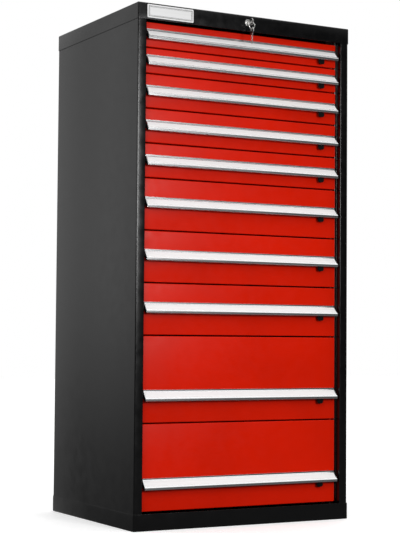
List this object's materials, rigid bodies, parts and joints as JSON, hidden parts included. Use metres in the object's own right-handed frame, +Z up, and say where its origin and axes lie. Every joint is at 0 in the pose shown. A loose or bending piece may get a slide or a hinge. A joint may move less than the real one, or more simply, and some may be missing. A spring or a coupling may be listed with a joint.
{
  "type": "tool cabinet",
  "caption": "Tall black steel tool cabinet with a stack of red full-width drawers, hooked aluminium pull handles, thumb latches and a keyed lock in its top cap.",
  "frame": {"origin": "centre of the base pan's underside, on the floor", "axes": "+Z up, -Y towards the front of the drawers, +X towards the latch side (the right-hand side for someone facing the drawers)"},
  "size_m": [0.726, 0.5998, 1.5],
  "materials": {
    "black_paint": "fine-textured powder coat",
    "red_paint": "semi-gloss powder coat",
    "zinc_steel": "zinc plated",
    "aluminium": "satin anodised, lengthwise ribs",
    "black_plastic": "moulded, matt",
    "nickel": "nickel plated",
    "plate_white": "smooth, blank"
  },
  "bodies": {
    "cabinet": {"top_cap": "black_paint", "base_pan": "black_paint", "side_panel_right": "black_paint", "side_panel_left": "black_paint", "back_panel": "black_paint", "rail_rack_right": "zinc_steel", "rail_rack_left": "zinc_steel", "nameplate": "plate_white", "lock_housing": "nickel", "lock_nut": "zinc_steel"},
    "drawer_01": {"drawer_front_01": "red_paint", "drawer_tray_01": "red_paint", "handle_01": "aluminium"},
    "latch_01": {"latch_01": "black_plastic"},
    "drawer_02": {"drawer_front_02": "red_paint", "drawer_tray_02": "red_paint", "handle_02": "aluminium"},
    "latch_02": {"latch_02": "black_plastic"},
    "drawer_03": {"drawer_front_03": "red_paint", "drawer_tray_03": "red_paint", "handle_03": "aluminium"},
    "latch_03": {"latch_03": "black_plastic"},
    "drawer_04": {"drawer_front_04": "red_paint", "drawer_tray_04": "red_paint", "handle_04": "aluminium"},
    "latch_04": {"latch_04": "black_plastic"},
    "drawer_05": {"drawer_front_05": "red_paint", "drawer_tray_05": "red_paint", "handle_05": "aluminium"},
    "latch_05": {"latch_05": "black_plastic"},
    "drawer_06": {"drawer_front_06": "red_paint", "drawer_tray_06": "red_paint", "handle_06": "aluminium"},
    "latch_06": {"latch_06": "black_plastic"},
    "drawer_07": {"drawer_front_07": "red_paint", "drawer_tray_07": "red_paint", "handle_07": "aluminium"},
    "latch_07": {"latch_07": "black_plastic"},
    "drawer_08": {"drawer_front_08": "red_paint", "drawer_tray_08": "red_paint", "handle_08": "aluminium"},
    "latch_08": {"latch_08": "black_plastic"},
    "drawer_09": {"drawer_front_09": "red_paint", "drawer_tray_09": "red_paint", "handle_09": "aluminium"},
    "latch_09": {"latch_09": "black_plastic"},
    "drawer_10": {"drawer_front_10": "red_paint", "drawer_tray_10": "red_paint", "handle_10": "aluminium"},
    "latch_10": {"latch_10": "black_plastic"},
    "lock_core": {"lock_plug": "nickel", "lock_cam": "zinc_steel", "key": "nickel"},
    "lock_bar": {"lock_bar": "zinc_steel"},
    "key_ring": {"key_ring": "nickel"},
    "spare_key": {"spare_key": "nickel"}
  },
  "joints": [
    {"name": "drawer_01_slide", "type": "slide", "parent": "cabinet", "child": "drawer_01", "axis": [0, -1, 0], "range_m": [0, 0.45]},
    {"name": "latch_01_release", "type": "slide", "parent": "drawer_01", "child": "latch_01", "axis": [-1, 0, 0], "range_m": [0, 0.006], "stiffness_N_per_m": 150},
    {"name": "drawer_02_slide", "type": "slide", "parent": "cabinet", "child": "drawer_02", "axis": [0, -1, 0], "range_m": [0, 0.45]},
    {"name": "latch_02_release", "type": "slide", "parent": "drawer_02", "child": "latch_02", "axis": [-1, 0, 0], "range_m": [0, 0.006], "stiffness_N_per_m": 150},
    {"name": "drawer_03_slide", "type": "slide", "parent": "cabinet", "child": "drawer_03", "axis": [0, -1, 0], "range_m": [0, 0.45]},
    {"name": "latch_03_release", "type": "slide", "parent": "drawer_03", "child": "latch_03", "axis": [-1, 0, 0], "range_m": [0, 0.006], "stiffness_N_per_m": 150},
    {"name": "drawer_04_slide", "type": "slide", "parent": "cabinet", "child": "drawer_04", "axis": [0, -1, 0], "range_m": [0, 0.45]},
    {"name": "latch_04_release", "type": "slide", "parent": "drawer_04", "child": "latch_04", "axis": [-1, 0, 0], "range_m": [0, 0.006], "stiffness_N_per_m": 150},
    {"name": "drawer_05_slide", "type": "slide", "parent": "cabinet", "child": "drawer_05", "axis": [0, -1, 0], "range_m": [0, 0.45]},
    {"name": "latch_05_release", "type": "slide", "parent": "drawer_05", "child": "latch_05", "axis": [-1, 0, 0], "range_m": [0, 0.006], "stiffness_N_per_m": 150},
    {"name": "drawer_06_slide", "type": "slide", "parent": "cabinet", "child": "drawer_06", "axis": [0, -1, 0], "range_m": [0, 0.45]},
    {"name": "latch_06_release", "type": "slide", "parent": "drawer_06", "child": "latch_06", "axis": [-1, 0, 0], "range_m": [0, 0.006], "stiffness_N_per_m": 150},
    {"name": "drawer_07_slide", "type": "slide", "parent": "cabinet", "child": "drawer_07", "axis": [0, -1, 0], "range_m": [0, 0.45]},
    {"name": "latch_07_release", "type": "slide", "parent": "drawer_07", "child": "latch_07", "axis": [-1, 0, 0], "range_m": [0, 0.006], "stiffness_N_per_m": 150},
    {"name": "drawer_08_slide", "type": "slide", "parent": "cabinet", "child": "drawer_08", "axis": [0, -1, 0], "range_m": [0, 0.45]},
    {"name": "latch_08_release", "type": "slide", "parent": "drawer_08", "child": "latch_08", "axis": [-1, 0, 0], "range_m": [0, 0.006], "stiffness_N_per_m": 150},
    {"name": "drawer_09_slide", "type": "slide", "parent": "cabinet", "child": "drawer_09", "axis": [0, -1, 0], "range_m": [0, 0.45]},
    {"name": "latch_09_release", "type": "slide", "parent": "drawer_09", "child": "latch_09", "axis": [-1, 0, 0], "range_m": [0, 0.006], "stiffness_N_per_m": 150},
    {"name": "drawer_10_slide", "type": "slide", "parent": "cabinet", "child": "drawer_10", "axis": [0, -1, 0], "range_m": [0, 0.45]},
    {"name": "latch_10_release", "type": "slide", "parent": "drawer_10", "child": "latch_10", "axis": [-1, 0, 0], "range_m": [0, 0.006], "stiffness_N_per_m": 150},
    {"name": "lock_turn", "type": "hinge", "parent": "cabinet", "child": "lock_core", "pos_m": [0, -0.27, 1.478], "axis": [0, 1, 0], "range_deg": [0, 90]},
    {"name": "lock_bar_lift", "type": "slide", "parent": "cabinet", "child": "lock_bar", "axis": [0, 0, 1], "range_m": [0, 0.01]},
    {"name": "key_ring_swing", "type": "hinge", "parent": "lock_core", "child": "key_ring", "pos_m": [0, -0.3069, 1.476], "axis": [-1, 0, 0], "range_deg": [-10, 45]},
    {"name": "spare_key_swing", "type": "hinge", "parent": "key_ring", "child": "spare_key", "pos_m": [0, -0.3069, 1.4568], "axis": [-1, 0, 0], "range_deg": [-10, 45]}
  ],
  "couplings": [
    {"joint": "lock_turn", "follows": "lock_bar_lift", "rad_per_m": 157.07}
  ]
}
